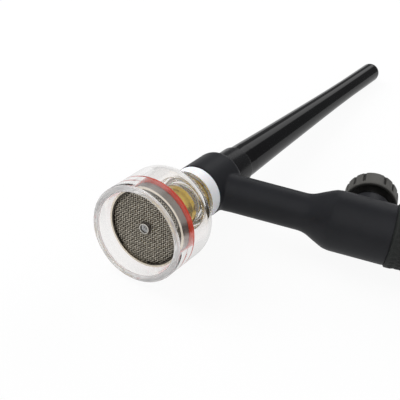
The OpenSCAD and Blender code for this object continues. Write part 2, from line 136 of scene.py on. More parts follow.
def bridgeRings(first, rings, count, closed):
    # faces between neighbouring rings of count points each; first is the number of their first point
    faces = []
    for i in range(rings if closed else rings - 1):
        here, there = first + i * count, first + (i + 1) % rings * count
        for a in range(count):
            b = (a + 1) % count
            faces.append((here + a, here + b, there + b, there + a))
    return faces


def roundCorners(corners, steps):
    # corners: (radius, station) or (radius, station, fillet); a fillet becomes an arc tangent to both sides
    count = len(corners)
    spots = [Vector(corner[:2]) for corner in corners]
    halves, reaches = [], []
    for i, corner in enumerate(corners):
        before, after = spots[i - 1] - spots[i], spots[(i + 1) % count] - spots[i]
        half = before.angle(after) / 2
        filleted = len(corner) > 2 and half < math.radians(meshing["straight"])
        halves.append(half)
        reaches.append(corner[2] / math.tan(half) if filleted else 0.0)
    outline = []
    for i, here in enumerate(spots):
        before, after = spots[i - 1] - here, spots[(i + 1) % count] - here
        # a side that is too short is shared by its two fillets
        reach = reaches[i] * min(
            1.0,
            before.length / (reaches[i] + reaches[i - 1] + meshing["offZero"]),
            after.length / (reaches[i] + reaches[(i + 1) % count] + meshing["offZero"]))
        if reach < meshing["tiny"]:
            outline.append(tuple(here))
            continue
        radius = reach * math.tan(halves[i])
        toCentre = (before.normalized() + after.normalized()).normalized()
        centre = here + toCentre * (radius / math.sin(halves[i]))
        first = here + before.normalized() * reach - centre
        last = here + after.normalized() * reach - centre
        sweep = first.angle_signed(last)
        for k in range(steps + 1):
            turned = first.copy()
            turned.rotate(Matrix.Rotation(-sweep * k / steps, 2))
            outline.append(tuple(centre + turned))
    return outline


def lathe(name, outline, place, turns, smoothAngle=40.0):
    # revolves a closed outline of (radius, station) pairs about the local z axis
    made = bmesh.new()
    rings = []
    for radius, station in outline:
        onAxis = radius < meshing["tiny"]
        spots = [(0, 0)] if onAxis else [polar(radius, angle) for angle in wholeTurn(turns)]
        rings.append([made.verts.new((*spot, station)) for spot in spots])
    for lower, upper in zip(rings, rings[1:] + rings[:1]):
        if len(lower) == 1 and len(upper) == 1:
            continue
        for a in range(turns):
            b = (a + 1) % turns
            if len(lower) == 1:
                made.faces.new((lower[0], upper[b], upper[a]))
            elif len(upper) == 1:
                made.faces.new((lower[a], lower[b], upper[0]))
            else:
                made.faces.new((lower[a], lower[b], upper[b], upper[a]))
    bmesh.ops.recalc_face_normals(made, faces=made.faces)
    bmesh.ops.transform(made, matrix=place, verts=made.verts)
    mesh = bpy.data.meshes.new(name)
    made.to_mesh(mesh)
    made.free()
    return addPiece(name, mesh, smoothAngle)


def carvedLathe(name, wall, place, samples, depthAt, smoothAngle):
    # wall: radius, station and the share of the carving's depth that reaches this ring
    points = []
    for radius, station, share in wall:
        for a in range(samples):
            degrees = 360.0 * a / samples
            carved = radius - share * depthAt(station, degrees)
            points.append(place @ Vector((*polar(carved, math.radians(degrees)), station)))
    mesh = bpy.data.meshes.new(name)
    mesh.from_pydata(points, [], bridgeRings(0, len(wall), samples, True))
    made = bmesh.new()
    made.from_mesh(mesh)
    bmesh.ops.recalc_face_normals(made, faces=made.faces)
    made.to_mesh(mesh)
    made.free()
    return addPiece(name, mesh, smoothAngle)


# material helpers

wholeRange = (0.0, 1.0)
noiseRange = (0.35, 0.65)    # most of the noise lies between these


def metres(pair):
    return tuple(value * mm for value in pair)


def newMaterial(name, sockets):
    material = bpy.data.materials.new(name)
    material.use_nodes = True
    shader = material.node_tree.nodes["Principled BSDF"]
    for socket, value in sockets.items():
        shader.inputs[socket].default_value = value
    return material, material.node_tree, shader


def feed(tree, source, target):
    # source: a number or another node's output
    if isinstance(source, (int, float)):
        target.default_value = source
    else:
        tree.links.new(source, target)


def combine(tree, operation, first, second):
    node = tree.nodes.new("ShaderNodeMath")
    node.operation = operation
    feed(tree, first, node.inputs[0])
    feed(tree, second, node.inputs[1])
    return node.outputs["Value"]


def blend(tree, share, first, second):
    # first where share is 0, second where it is 1
    gap = combine(tree, "SUBTRACT", second, first)
    return combine(tree, "ADD", first, combine(tree, "MULTIPLY", share, gap))


def combineVectors(tree, operation, first, second=None):
    node = tree.nodes.new("ShaderNodeVectorMath")
    node.operation = operation
    tree.links.new(first, node.inputs[0])
    if second is not None:
        node.inputs[1].default_value = tuple(second)
    return node.outputs["Value" if operation in ("LENGTH", "DOT_PRODUCT") else "Vector"]


def spread(tree, source, between, results, interpolation="LINEAR"):
    # the ends of between become those of results
    reach = tree.nodes.new("ShaderNodeMapRange")
    reach.interpolation_type = interpolation
    for socket, value in zip(("From Min", "From Max", "To Min", "To Max"), (*between, *results)):
        reach.inputs[socket].default_value = value
    tree.links.new(source, reach.inputs["Value"])
    return reach.outputs["Result"]


def restPlace(tree):
    # place in the piece's own metres, which moves with it
    return tree.nodes.new("ShaderNodeTexCoord").outputs["Object"]


def alongHead(tree):
    return combineVectors(tree, "DOT_PRODUCT", restPlace(tree), headWay)


def awayFromHead(tree):
    flat = combineVectors(tree, "MULTIPLY", restPlace(tree), (1, 0, 1))
    return combineVectors(tree, "LENGTH", flat)


def spotted(tree, scale, detail=3.0):
    # noise with about scale spots to the metre
    noise = tree.nodes.new("ShaderNodeTexNoise")
    noise.inputs["Scale"].default_value = scale
    noise.inputs["Detail"].default_value = detail
    tree.links.new(restPlace(tree), noise.inputs["Vector"])
    return noise.outputs["Fac"]


def turnedLines(tree, perMetre, way):
    # fine lathe lines square to way
    noise = tree.nodes.new("ShaderNodeTexNoise")
    noise.noise_dimensions = "1D"
    noise.inputs["Scale"].default_value = 1.0
    noise.inputs["Detail"].default_value = 2.0
    station = combineVectors(tree, "DOT_PRODUCT", restPlace(tree), way)
    tree.links.new(combine(tree, "MULTIPLY", station, perMetre), noise.inputs["W"])
    return noise.outputs["Fac"]


def tint(tree, source, shader, darker, lighter, between=noiseRange):
    ramp = tree.nodes.new("ShaderNodeValToRGB")
    for element, spot, colour in zip(ramp.color_ramp.elements, between, (darker, lighter)):
        element.position = spot
        element.color = (*colour, 1)
    tree.links.new(source, ramp.inputs["Fac"])
    tree.links.new(ramp.outputs["Color"], shader.inputs["Base Color"])


def roughen(tree, source, shader, rough):
    tree.links.new(spread(tree, source, wholeRange, rough), shader.inputs["Roughness"])


def bump(tree, source, shader, strength, distance):
    relief = tree.nodes.new("ShaderNodeBump")
    relief.inputs["Strength"].default_value = strength
    relief.inputs["Distance"].default_value = distance
    tree.links.new(source, relief.inputs["Height"])
    tree.links.new(relief.outputs["Normal"], shader.inputs["Normal"])


def paint(piece, material):
    piece.data.materials.clear()
    piece.data.materials.append(material)
    for face in piece.data.polygons:
        face.material_index = 0


# plain finishes: colour and roughness drift in soft clouds, over a grain or lathe lines

plainFinishes = {
    # cloud: spots to the metre; grain: spots to the metre and detail; relief: strength and metres
    "mouldedRubber": {
        "sockets": {"Specular IOR Level": 0.3},
        "darker": (0.0088, 0.0093, 0.0118), "lighter": (0.0122, 0.0129, 0.0158),
        "cloud": 90.0, "rough": (0.4, 0.52), "grain": (2600.0, 2.0), "relief": (0.25, 0.00006)},
    "gripPlastic": {
        "sockets": {"Specular IOR Level": 0.3},
        "darker": (0.015, 0.0165, 0.0155), "lighter": (0.022, 0.0238, 0.0225),
        "cloud": 140.0, "rough": (0.5, 0.66), "grain": (2200.0, 3.0), "relief": (0.4, 0.00008)},
    "whitePtfe": {
        "sockets": {"Subsurface Weight": 0.12, "Subsurface Scale": 0.002, "Specular IOR Level": 0.45},
        "darker": (0.9, 0.91, 0.93), "lighter": (0.94, 0.945, 0.955),
        "cloud": 200.0, "rough": (0.3, 0.42), "lines": (4200.0, headWay), "relief": (0.25, 0.00004)},
    "whiteCeramic": {
        "sockets": {"Specular IOR Level": 0.5},
        "darker": (0.96, 0.96, 0.955), "lighter": (0.985, 0.985, 0.98),
        "cloud": 500.0, "rough": (0.25, 0.4)},
}

metals = {
    # darker and lighter colour, roughness, axis of the lathe
    "lensBrass": ((0.62, 0.41, 0.05), (0.8, 0.57, 0.1), 0.26, headWay),
    "bodyBrass": ((0.66, 0.47, 0.19), (0.78, 0.58, 0.27), 0.3, handleWay),
    "drawnCopper": ((0.68, 0.34, 0.2), (0.8, 0.44, 0.28), 0.3, headWay),
    "housingSteel": ((0.27, 0.26, 0.25), (0.36, 0.35, 0.33), 0.34, headWay),
    "springSteel": ((0.07, 0.062, 0.05), (0.11, 0.1, 0.085), 0.32, headWay),
}

silicones = {
    # darker and lighter colour, transmission, roughness
    "redSilicone": ((0.9, 0.05, 0.012), (0.98, 0.075, 0.02), 0.0, 0.32),
    "clearSilicone": ((0.95, 0.95, 0.92), (0.99, 0.985, 0.96), 0.85, 0.14),
    "sealRubber": ((0.012, 0.012, 0.012), (0.018, 0.018, 0.018), 0.0, 0.4),
}

metalSurface = {
    "cloud": 150.0,
    "roughDrift": (0.8, 1.25),       # times the metal's own roughness
    "linesPerMetre": 6000.0,
    "relief": (0.3, 0.00003),
}

siliconeSurface = {
    "ior": 1.42,
    "specular": 0.5,
    "cloud": 300.0,
    "roughDrift": (0.85, 1.2),
}


def cloudyFinish(name, spec):
    material, tree, shader = newMaterial(name, spec["sockets"])
    cloud = spotted(tree, spec["cloud"])
    tint(tree, cloud, shader, spec["darker"], spec["lighter"])
    roughen(tree, cloud, shader, spec["rough"])
    if "grain" in spec:
        bump(tree, spotted(tree, *spec["grain"]), shader, *spec["relief"])
    if "lines" in spec:
        bump(tree, turnedLines(tree, *spec["lines"]), shader, *spec["relief"])
    return material


def turnedMetal(name, darker, lighter, rough, way):
    spec = metalSurface
    return cloudyFinish(name, {
        "sockets": {"Metallic": 1.0}, "darker": darker, "lighter": lighter,
        "cloud": spec["cloud"], "rough": [rough * drift for drift in spec["roughDrift"]],
        "lines": (spec["linesPerMetre"], way), "relief": spec["relief"]})


def softSilicone(name, darker, lighter, through, rough):
    spec = siliconeSurface
    sockets = {"Transmission Weight": through, "IOR": spec["ior"], "Specular IOR Level": spec["specular"]}
    return cloudyFinish(name, {
        "sockets": sockets, "darker": darker, "lighter": lighter,
        "cloud": spec["cloud"], "rough": [rough * drift for drift in spec["roughDrift"]]})


# back cap: polished, but the collar keeps the mould's satin, and its colour is painted lighter there as
# painted sheen

capFinish = {
    "darker": (0.0035, 0.0036, 0.0042),
    "lighter": (0.016, 0.0165, 0.018),
    "specular": 0.22,
    "cloud": 60.0,
    "cloudShade": 0.1,
    "rough": (0.07, 0.12),
    "collarEnd": (22.4, 22.6),
    # painted sheen: how much lighter the collar's colour is painted
    "collarPaintedSheen": 0.5,
    "satinRough": 0.14,
    "grain": (220.0, 1.0),
    "relief": (0.08, 0.0002),
}


def polishedPhenolic(name, spec):
    material, tree, shader = newMaterial(name, {"Specular IOR Level": spec["specular"]})
    cloud = spotted(tree, spec["cloud"])
    collarSatinAndSheen = spread(tree, alongHead(tree), metres(spec["collarEnd"]), (1.0, 0.0))
    # the collar's lighter colour is painted sheen; its higher roughness is the mould's satin
    lightness = combine(
        tree, "ADD", spread(tree, cloud, noiseRange, (0.0, spec["cloudShade"])),
        combine(tree, "MULTIPLY", collarSatinAndSheen, spec["collarPaintedSheen"]))
    tint(tree, lightness, shader, spec["darker"], spec["lighter"], wholeRange)
    rough = combine(
        tree, "ADD", spread(tree, cloud, wholeRange, spec["rough"]),
        combine(tree, "MULTIPLY", collarSatinAndSheen, spec["satinRough"]))
    tree.links.new(rough, shader.inputs["Roughness"])
    bump(tree, spotted(tree, *spec["grain"]), shader, *spec["relief"])
    return material


# knob: painted shade darkens the grooves; the distance from the valve axis tells where: the groove floors,
# and the top face, the hub and the hollow, which lie nearer the axis, all take it

knobFinish = {
    "darker": (0.022, 0.0215, 0.02),
    "lighter": (0.082, 0.079, 0.073),
    "shadeRange": (0.1, 1.0),
    "specular": 0.5,
    "cloud": 120.0,
    "cloudShade": 0.85,
    # from the valve axis: painted shade, full inside the first radius and gone outside the second
    "grooveShadeReach": (9.55, 10.4),
    "rough": (0.42, 0.56),
    "grain": (3000.0, 2.0),
    "relief": (0.3, 0.00005),
}


def knobNylon(name, spec):
    material, tree, shader = newMaterial(name, {"Specular IOR Level": spec["specular"]})
    cloud = spotted(tree, spec["cloud"])
    fromValve = combineVectors(tree, "SUBTRACT", restPlace(tree), valveSpot * mm)
    reach = combineVectors(tree, "LENGTH", combineVectors(tree, "CROSS_PRODUCT", fromValve, valveWay))
    # painted shade: darker where a point lies nearer the valve axis
    unshaded = spread(tree, reach, metres(spec["grooveShadeReach"]), wholeRange)
    lightness = combine(tree, "MULTIPLY", unshaded, blend(tree, cloud, spec["cloudShade"], 1.0))
    tint(tree, lightness, shader, spec["darker"], spec["lighter"], spec["shadeRange"])
    roughen(tree, lightness, shader, spec["rough"])
    bump(tree, spotted(tree, *spec["grain"]), shader, *spec["relief"])
    return material


# cup: the mouth's lip is ground, the rest is fire polished

cupFinish = {
    "sockets": {"Base Color": (0.947, 0.935, 0.927, 1), "IOR": 1.474, "Specular IOR Level": 0.5},
    "lip": (-46.1, -45.7),
    "lipRough": 0.1,
    "lipTransmission": 0.5,
    "cloud": 40.0,
    "cloudRough": 0.012,
    "relief": (0.02, 0.0003),
}


def clearGlass(name, spec):
    material, tree, shader = newMaterial(name, spec["sockets"])
    lip = spread(tree, alongHead(tree), metres(spec["lip"]), (1.0, 0.0))
    cloudy = spread(tree, spotted(tree, spec["cloud"]), wholeRange, (0.0, spec["cloudRough"]))
    rough = combine(tree, "ADD", combine(tree, "MULTIPLY", lip, spec["lipRough"]), cloudy)
    clear = spread(tree, lip, wholeRange, (1.0, spec["lipTransmission"]))
    tree.links.new(rough, shader.inputs["Roughness"])
    tree.links.new(clear, shader.inputs["Transmission Weight"])
    bump(tree, spotted(tree, spec["cloud"], 0.0), shader, *spec["relief"])
    return material


# screens: painted highlight on the wires' crests and painted shade in the hollows between, with the
# housing's shade at the rim

wireFinish = {
    "rim": (12.9, 13.6),
    "rimShade": 0.35,
    "grain": (1900.0, 0.0),
    "grainRange": (0.38, 0.62),
    "grainShade": 0.5,
    "cloud": 420.0,
    "rough": (0.3, 0.45),
}

wovenMetals = {
    # darker and lighter colour, stations of the wires' valleys and crests; shadedSteel is a darker copy of
    # the same steel, painted shade for the rear screen
    "wovenSteel": ((0.18, 0.155, 0.115), (1.0, 0.93, 0.8), (-39.5, -39.76)),
    "shadedSteel": ((0.05, 0.045, 0.035), (0.2, 0.18, 0.15), (-37.7, -38.1)),
}


def wovenSteel(name, darker, lighter, stations, spec):
    material, tree, shader = newMaterial(name, {"Metallic": 1.0})
    # painted highlight on the crests, painted shade in the valleys
    paintedCrestLight = spread(tree, alongHead(tree), metres(stations), wholeRange)
    rim = spread(tree, awayFromHead(tree), metres(spec["rim"]), (1.0, spec["rimShade"]))
    grain = spread(tree, spotted(tree, *spec["grain"]), spec["grainRange"], (spec["grainShade"], 1.0))
    lightness = combine(tree, "MULTIPLY", combine(tree, "MULTIPLY", paintedCrestLight, grain), rim)
    tint(tree, lightness, shader, darker, lighter, wholeRange)
    roughen(tree, spotted(tree, spec["cloud"]), shader, spec["rough"])
    return material


# turned rings in two tones: polished at the front, and in the bore down to some depth, and lighter there;
# the housing's warm lighter tone is a painted reflection of the brass, and the eyelet's dark tone behind
# its front is painted shade on its inner wall

ringFinish = {
    "cloudShade": 0.15,
    "rough": (0.36, 0.2),    # plain and polished
}

twoToneMetals = {
    # darker and lighter colour, stations of the front, radii and stations of the polished bore
    # linedSteel: the lighter tone is a painted reflection of the brass
    "linedSteel": (
        (0.28, 0.27, 0.255), (0.78, 0.71, 0.6), (-40.35, -40.2), (14.55, 14.8), (-39.0, -38.6)),
    # eyeletSteel: the darker tone behind the front is painted shade on the eyelet's inner wall
    "eyeletSteel": ((0.08, 0.07, 0.06), (0.8, 0.77, 0.72), (-41.0, -40.85), None, None),
}


def twoTone(name, darker, lighter, front, bore, depth, spec):
    material, tree, shader = newMaterial(name, {"Metallic": 1.0})
    polishAndPaintedLight = spread(tree, alongHead(tree), metres(front), (1.0, 0.0))
    if bore:
        inside = spread(tree, awayFromHead(tree), metres(bore), (1.0, 0.0))
        shallow = spread(tree, alongHead(tree), metres(depth), (1.0, 0.0))
        polishAndPaintedLight = combine(tree, "MAXIMUM", polishAndPaintedLight, combine(tree, "MULTIPLY", inside, shallow))
    cloud = spread(tree, spotted(tree, metalSurface["cloud"]), noiseRange, (0.0, spec["cloudShade"]))
    # lighter where polished: painted reflection on the housing; the darker rest of the eyelet is painted
    # shade
    tint(tree, combine(tree, "MAXIMUM", polishAndPaintedLight, cloud), shader, darker, lighter, wholeRange)
    roughen(tree, polishAndPaintedLight, shader, spec["rough"])
    lines = turnedLines(tree, metalSurface["linesPerMetre"], headWay)
    bump(tree, lines, shader, *metalSurface["relief"])
    return material


finishes = {
    "polishedPhenolic": polishedPhenolic("polishedPhenolic", capFinish),
    "knobNylon": knobNylon("knobNylon", knobFinish),
    "clearGlass": clearGlass("clearGlass", cupFinish),
    **{name: cloudyFinish(name, spec) for name, spec in plainFinishes.items()},
    **{name: turnedMetal(name, *values) for name, values in metals.items()},
    **{name: softSilicone(name, *values) for name, values in silicones.items()},
    **{name: wovenSteel(name, *values, wireFinish) for name, values in wovenMetals.items()},
    **{name: twoTone(name, *values, ringFinish) for name, values in twoToneMetals.items()},
}
print("finishes made:", len(finishes))


# pieces that keep their solid shape

paintedNodes = {
    "smoothAngle": 35.0,
    "finishes": {
        "lensBrass": ["head_core", "gas_lens_body"],
        "bodyBrass": ["valve_housing", "cable_connector", "valve_stem", "gland_nut", "knob_screw"],
        "drawnCopper": ["neck_tube", "collet"],
        "linedSteel": ["diffuser_housing"],
        "housingSteel": ["spacer_ring"],
        "springSteel": ["snap_ring"],
        "sealRubber": ["stem_o_ring", "back_cap_o_ring"],
        "whitePtfe": ["insulator"],
    },
}


def paintNodes(spec):
    for finish, names in spec["finishes"].items():
        for name in names:
            paint(nodes[name], finishes[finish])
            shade(nodes[name].data, spec["smoothAngle"])


paintNodes(paintedNodes)
print("solid pieces painted")


# rubber moulding: the solid's corners melted into soft blends

moulding = {
    "voxel": 0.42,
    "softening": 8,          # smoothing passes after the remesh
    "strength": 0.5,
}


def mouldShell(spec):
    mesh = nodes["head_shell"].data.copy()
    mesh.name = "mouldedShell"
    piece = addObject("mouldedShell", mesh)
    remesh = piece.modifiers.new("remesh", "REMESH")
    remesh.mode = "VOXEL"
    remesh.voxel_size = spec["voxel"] * mm
    remesh.use_smooth_shade = True
    soften = piece.modifiers.new("soften", "SMOOTH")
    soften.factor = spec["strength"]
    soften.iterations = spec["softening"]
    evaluated = piece.evaluated_get(bpy.context.evaluated_depsgraph_get())
    softened = bpy.data.meshes.new_from_object(evaluated)
    piece.modifiers.clear()
    piece.data = softened
    piece.data.shade_smooth()
    paint(piece, finishes["mouldedRubber"])
    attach(piece, "torch_head")
    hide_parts("head_shell")


mouldShell(moulding)
print("shell moulded")


# long back cap, lathed with a polished taper

backCap = {
    "outside": [
        (2.6, 1.9), (4.4, 1.9, 0.2), (5.0, 2.5, 0.2), (5.0, 9.1), (4.4, 9.1), (4.4, 10.8),
        (7.7, 10.8, 0.35), (7.7, 22.4, 0.75), (6.95, 22.65, 0.3), (6.95, 28.0, 30.0), (6.26, 50.0, 120.0),
        (5.72, 70.0, 150.0), (5.2, 90.0, 150.0), (4.75, 110.0, 120.0), (4.52, 126.0, 80.0)],
    "domeRadius": 4.5,
    "domeAt": 152.9,
    "domeDegrees": range(0, 85, 6),
    "bore": [(0.0, 148.4), (1.4, 148.4), (1.4, 13.9), (2.6, 13.9)],
    "filletSteps": 10,
    "turns": 160,
}


def turnCap(spec):
    radius, centre = spec["domeRadius"], (0.0, spec["domeAt"])
    dome = [polar(radius, math.radians(degrees), centre) for degrees in spec["domeDegrees"]]
    tip = (0.0, spec["domeAt"] + radius)
    outline = roundCorners([*spec["outside"], *dome, tip, *spec["bore"]], spec["filletSteps"])
    piece = lathe("backCapBody", outline, onHead, spec["turns"])
    paint(piece, finishes["polishedPhenolic"])
    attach(piece, "cap")
    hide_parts("back_cap")


turnCap(backCap)
print("back cap turned")


# valve knob with soft grooves between smooth pads

knob = {
    "bottom": 16.9,          # stations along the valve axis
    "top": 26.0,
    "radius": 10.5,
    "rim": [(-1.1, 0.25), (-0.9, 0.0), (-0.3, 0.0), (-0.08, 0.1), (0.0, 0.3)],   # from the outer corner
    "band": 1.8,             # plain wall under the grooves
    "grooveFoot": [(-0.1, 0.0), (0.0, 0.4), (0.12, 0.85), (0.3, 1.0)],   # above the band, share of depth
    "sideSteps": 6,
    "edge": 1.5,
    "edgeDegrees": (6, 12, 20, 28, 36, 44, 52, 60, 72, 82),
    "grooveOut": 55,         # degrees round the edge, where the grooves have run out
    "topFace": [(9.0, 0.0), (7.3, 0.0), (2.65, 0.0)],                    # radius, depth under the top
    "dish": [(2.4, 0.25), (2.4, 1.9), (1.0, 1.9), (1.0, 4.0), (2.0, 4.0)],
    "hub": [(2.0, -0.4), (3.8, -0.4), (3.8, 4.7), (4.1, 5.0)],           # radius, height over the bottom
    "hollow": [(8.8, 5.0), (9.4, 4.4)],
    "places": 16,
    "padEvery": 4,
    "padCentre": -95.0,
    "grooveWidth": 6.4,      # degrees
    "grooveDepth": 0.95,
    "samples": 720,
    "smoothAngle": 45.0,
}


def grooveDepthAt(degrees, spec):
    pitch = 360.0 / spec["places"]
    place = (degrees - spec["padCentre"]) / pitch
    nearest = round(place)
    if nearest % spec["padEvery"] == 0:
        return 0.0
    off = abs(place - nearest) * pitch / (spec["grooveWidth"] / 2)
    return 0.0 if off >= 1 else spec["grooveDepth"] * (1 - off ** 4) ** 0.5


def buildKnob(spec):
    low, top, outer, edge = spec["bottom"], spec["top"], spec["radius"], spec["edge"]
    band = low + spec["band"]
    foot = band + spec["grooveFoot"][-1][0]
    side = top - edge - foot
    wall = [(outer + out, low + up, 0.0) for out, up in spec["rim"]]
    wall += [(outer, band + up, share) for up, share in spec["grooveFoot"]]
    wall += [(outer, foot + side * i / spec["sideSteps"], 1.0) for i in range(1, spec["sideSteps"] + 1)]
    for degrees in spec["edgeDegrees"]:
        spot = polar(edge, math.radians(degrees), (outer - edge, top - edge))
        wall.append((*spot, max(0.0, 1 - degrees / spec["grooveOut"])))
    wall += [(radius, top - down, 0.0) for radius, down in spec["topFace"] + spec["dish"]]
    wall += [(radius, low + up, 0.0) for radius, up in spec["hub"] + spec["hollow"]]
    piece = carvedLathe(
        "knobBody", wall, onValve, spec["samples"],
        lambda station, degrees: grooveDepthAt(degrees, spec), spec["smoothAngle"])
    paint(piece, finishes["knobNylon"])
    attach(piece, "valve_spindle")
    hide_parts("valve_knob")


buildKnob(knob)
print("knob built")


# handle with a dimpled grip

grip = {
    "front": 72.0,           # stations along the handle
    "end": 204.0,
    "lip": [(9.8, -0.4), (11.5, -0.4)],          # fills the joint with the moulding
    "nose": [(11.9, 0.0), (12.13, 0.08), (12.25, 0.3), (12.25, 0.9)],    # radius, station from the front
    "skinFrom": 1.25,        # from the front
    "step": 0.39,
    "bead": 12.25,
    "beadFade": (74.4, 1.8),         # from here, over this length, it runs out into the waist
    "waist": 11.97,
    "fullest": 12.95,
    "swell": (81.2, 109.6, 1.2),     # its start, length and power
    "tail": [(11.85, 8.6), (11.85, 8.0), (12.0, 7.3), (12.15, 6.6), (12.15, 1.5)],   # before the end
    "tailRadius": 12.15,
    "tailEdge": 1.5,
    "tailDegrees": range(15, 91, 15),
    "bore": [(9.3, 0.0), (9.0, 0.3)],
    "chamber": [(9.0, 110.0), (9.75, 110.0), (9.75, 72.3)],
    "dimplePitch": 2.3,
    "dimpleRows": 34,        # dimples round the handle
    "dimpleDepth": 0.5,
    "dimpleLap": 0.95,       # under 1, neighbours run into each other
    "dimplesFrom": 73.2,
    "dimplesTo": 195.0,
    "dimpleFade": 1.5,
    "samples": 288,
    "smoothAngle": 50.0,
}


def gripRadius(station, spec):
    bead, waist = spec["bead"], spec["waist"]
    fadeFrom, fadeLength = spec["beadFade"]
    swellFrom, swellLength, power = spec["swell"]
    if station < fadeFrom + fadeLength:
        share = min(max((station - fadeFrom) / fadeLength, 0.0), 1.0)
        return bead + (waist - bead) * (3 - 2 * share) * share ** 2
    share = min(max((station - swellFrom) / swellLength, 0.0), 1.0)
    return waist + (spec["fullest"] - waist) * math.sin(math.pi * share) ** power


def dimpleDepthAt(station, degrees, spec):
    # rows of oval dimples, every other row half a place on
    if station < spec["dimplesFrom"] or station > spec["dimplesTo"]:
        return 0.0
    row = (station - spec["dimplesFrom"]) / spec["dimplePitch"] - 0.5
    place = degrees / 360.0 * spec["dimpleRows"]
    best = 0.0
    for nearRow in (max(math.floor(row), 0), math.floor(row) + 1):
        across = place - (0.5 if nearRow % 2 else 0.0)
        across = abs(across - round(across)) * 2
        off = math.hypot(across * spec["dimpleLap"], abs(row - nearRow) * spec["dimpleLap"])
        if off < 1:
            best = max(best, 0.5 + 0.5 * math.cos(math.pi * off))
    fade = min(1.0, (spec["dimplesTo"] - station) / spec["dimpleFade"])
    return spec["dimpleDepth"] * best * fade


def buildGrip(spec):
    start, end, edge = spec["front"], spec["end"], spec["tailEdge"]
    wall = [(radius, start + on, 0) for radius, on in spec["lip"] + spec["nose"]]
    station = start + spec["skinFrom"]
    while station < spec["dimplesTo"] + spec["step"] / 2:
        wall.append((gripRadius(station, spec), station, 1))
        station += spec["step"]
    corner = (spec["tailRadius"] - edge, end - edge)
    wall += [(radius, end - back, 0) for radius, back in spec["tail"]]
    wall += [(*polar(edge, math.radians(degrees), corner), 0) for degrees in spec["tailDegrees"]]
    wall += [(radius, end - back, 0) for radius, back in spec["bore"]]
    wall += [(*spot, 0) for spot in spec["chamber"]]
    piece = carvedLathe(
        "gripBody", wall, onHandle, spec["samples"],
        lambda station, degrees: dimpleDepthAt(station, degrees, spec), spec["smoothAngle"])
    paint(piece, finishes["gripPlastic"])
    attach(piece, "handle")
    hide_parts("handle_grip")


buildGrip(grip)
print("grip built")


# clear cup with a narrow neck and a ground mouth

cup = {
    "outline": [
        (15.9, -46.5, 0.9), (18.39, -46.5, 0.9), (18.39, -20.5, 7.0), (10.8, -20.5, 0.6),
        (10.8, -12.3, 0.45), (8.8, -12.3, 0.35), (8.8, -22.3, 0.4), (15.9, -22.3, 4.5)],
    "filletSteps": 14,
    "turns": 256,
    "smoothAngle": 60.0,
}


def blowCup(spec):
    outline = roundCorners(spec["outline"], spec["filletSteps"])
    piece = lathe("clearCup", outline, onHead, spec["turns"], spec["smoothAngle"])
    paint(piece, finishes["clearGlass"])
    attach(piece, "cup")
    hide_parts("glass_cup")


blowCup(cup)
print("cup blown")


# O-rings, flattened where they press on the bore round them

redSeal = {
    "stations": {"redSeal": -35.6},
    "inner": 13.65,
    "section": 2.3,
    "bore": 15.91,
    "finish": "redSilicone",
    "body": "diffuser",
    "slot": "red_silicone",
    "standsFor": "cup_o_ring",
}

neckSeals = {
    "stations": {"neckSeal1": -14.9, "neckSeal2": -19.5},
    "inner": 6.95,
    "section": 2.1,
    "bore": 8.81,
    "finish": "clearSilicone",
    "body": "lens_seals",
    "slot": "clear_silicone",
    "standsFor": "neck_o_rings",
}

sealSteps = {
    "section": 48,
    "turns": 160,
}


def laySeals(spec, steps):
    half = spec["section"] / 2
    for name, station in spec["stations"].items():
        centre = (spec["inner"] + half, station)
        section = [polar(half, angle, centre) for angle in wholeTurn(steps["section"])]
        outline = [(min(radius, spec["bore"]), along) for radius, along in section]
        seal = lathe(name, outline, onHead, steps["turns"])
        paint(seal, finishes[spec["finish"]])
        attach(seal, spec["body"])
    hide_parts(spec["standsFor"])


laySeals(redSeal, sealSteps)
laySeals(neckSeals, sealSteps)
print("seals laid")


# woven wire screens

frontScreen = {
    "station": -39.55,
    "hole": 1.95,
    "turned": -11.0,         # degrees about the head axis
    "finish": "wovenSteel",
    "standsFor": "mesh_screen_front",
}

rearScreen = {
    "station": -37.85,
    "hole": 2.4,
    "turned": 34.0,
    "finish": "shadedSteel",
    "standsFor": "mesh_screen_rear",
}

weave = {
    "radius": 14.3,
    "pitch": 0.78,
    "wire": 0.145,           # radius
    "wave": 0.145,
    "sides": 6,
    "perPitch": 6,           # rings along a wire
    "fewestSteps": 2,
    "smoothAngle": 80.0,
}


def wireSpans(offset, hole, spec):
    # a wire runs from rim to rim, or from the rim to the hole and on behind it
    reach = math.sqrt(max(spec["radius"] ** 2 - offset ** 2, 0.0))
    if reach < spec["pitch"]:
        return []
    if abs(offset) >= hole:
        return [(-reach, reach)]
    gap = math.sqrt(hole ** 2 - offset ** 2)
    return [(-reach, -gap), (gap, reach)]


def wireRings(start, end, offset, sign, spec):
    # rings round a wire that waves along its way: (along, side, lift)
    steps = max(int((end - start) / spec["pitch"] * spec["perPitch"]), spec["fewestSteps"])
    rings = []
    for i in range(steps + 1):
        along = start + (end - start) * i / steps
        height = spec["wave"] * math.cos(math.pi * along / spec["pitch"]) * sign
        circle = [polar(spec["wire"], angle, (offset, height)) for angle in wholeTurn(spec["sides"])]
        rings.append([(along, side, lift) for side, lift in circle])
    return rings


